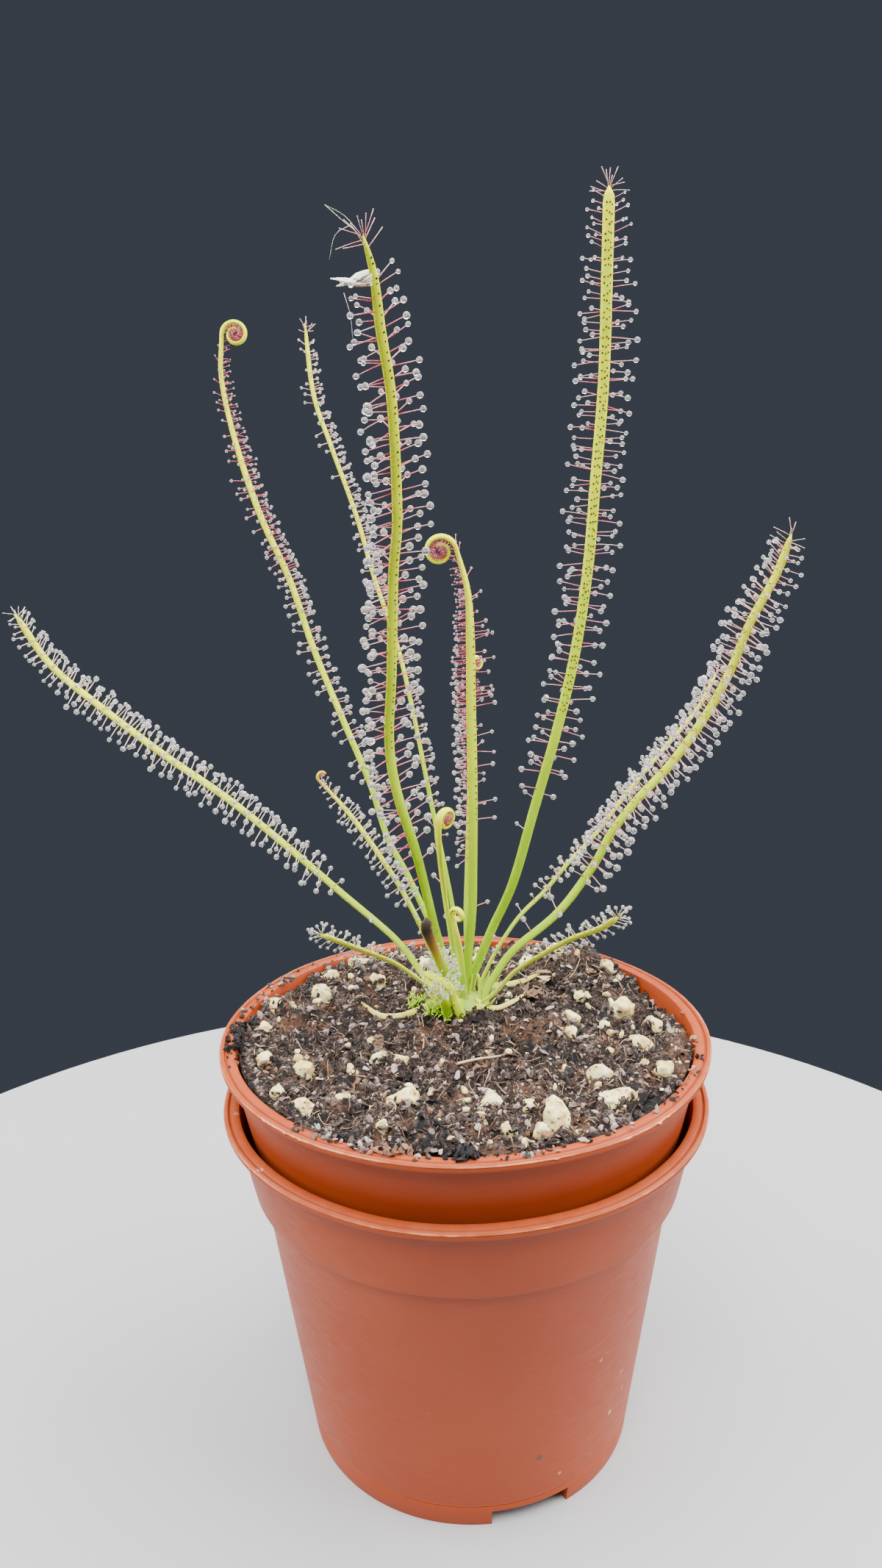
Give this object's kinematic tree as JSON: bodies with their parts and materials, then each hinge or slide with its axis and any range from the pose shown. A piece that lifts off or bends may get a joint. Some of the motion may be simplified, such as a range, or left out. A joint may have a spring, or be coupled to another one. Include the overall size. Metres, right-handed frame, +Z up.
{
  "type": "potted sundew",
  "caption": "Thread-leaved carnivorous house plant with sticky dew-tipped hairs, in pumice potting mix in two nested round nursery pots.",
  "frame": {"origin": "middle of the object's box, on the surface that the pot stands on; the pots' common axis stands 11 mm to the right of it and 0.9 mm behind it", "axes": "+Z up along the pots' axis, -Y towards the front, +X to the right seen from the front"},
  "size_m": [0.1236, 0.091, 0.2278],
  "materials": {
    "pot_plastic": "satin moulded terracotta-coloured plastic",
    "potting_mix": "matte crumbly brown mix with pale pumice grains",
    "crown_tissue": "matte",
    "frond_tissue": "satin, with clear glossy drops",
    "withered_tissue": "dry and papery"
  },
  "bodies": {
    "root": {"outer_pot": "pot_plastic", "inner_pot": "pot_plastic", "potting_mix": "potting_mix", "crown": "crown_tissue", "frond_far_left": "frond_tissue", "frond_tall_left": "frond_tissue", "frond_thin_left": "frond_tissue", "frond_front": "frond_tissue", "frond_tall_right": "frond_tissue", "frond_right_back": "frond_tissue", "frond_right": "frond_tissue", "frond_centre": "frond_tissue", "frond_centre_back": "frond_tissue", "frond_short_coiled": "frond_tissue", "frond_short_left": "frond_tissue", "frond_small_right": "frond_tissue", "frond_small_left": "frond_tissue", "frond_withered_tip": "frond_tissue", "frond_lowest": "frond_tissue", "frond_bud": "frond_tissue", "withered_leaf_left": "withered_tissue", "withered_leaf_right": "withered_tissue", "withered_leaf_back": "withered_tissue"}
  },
  "joints": []
}
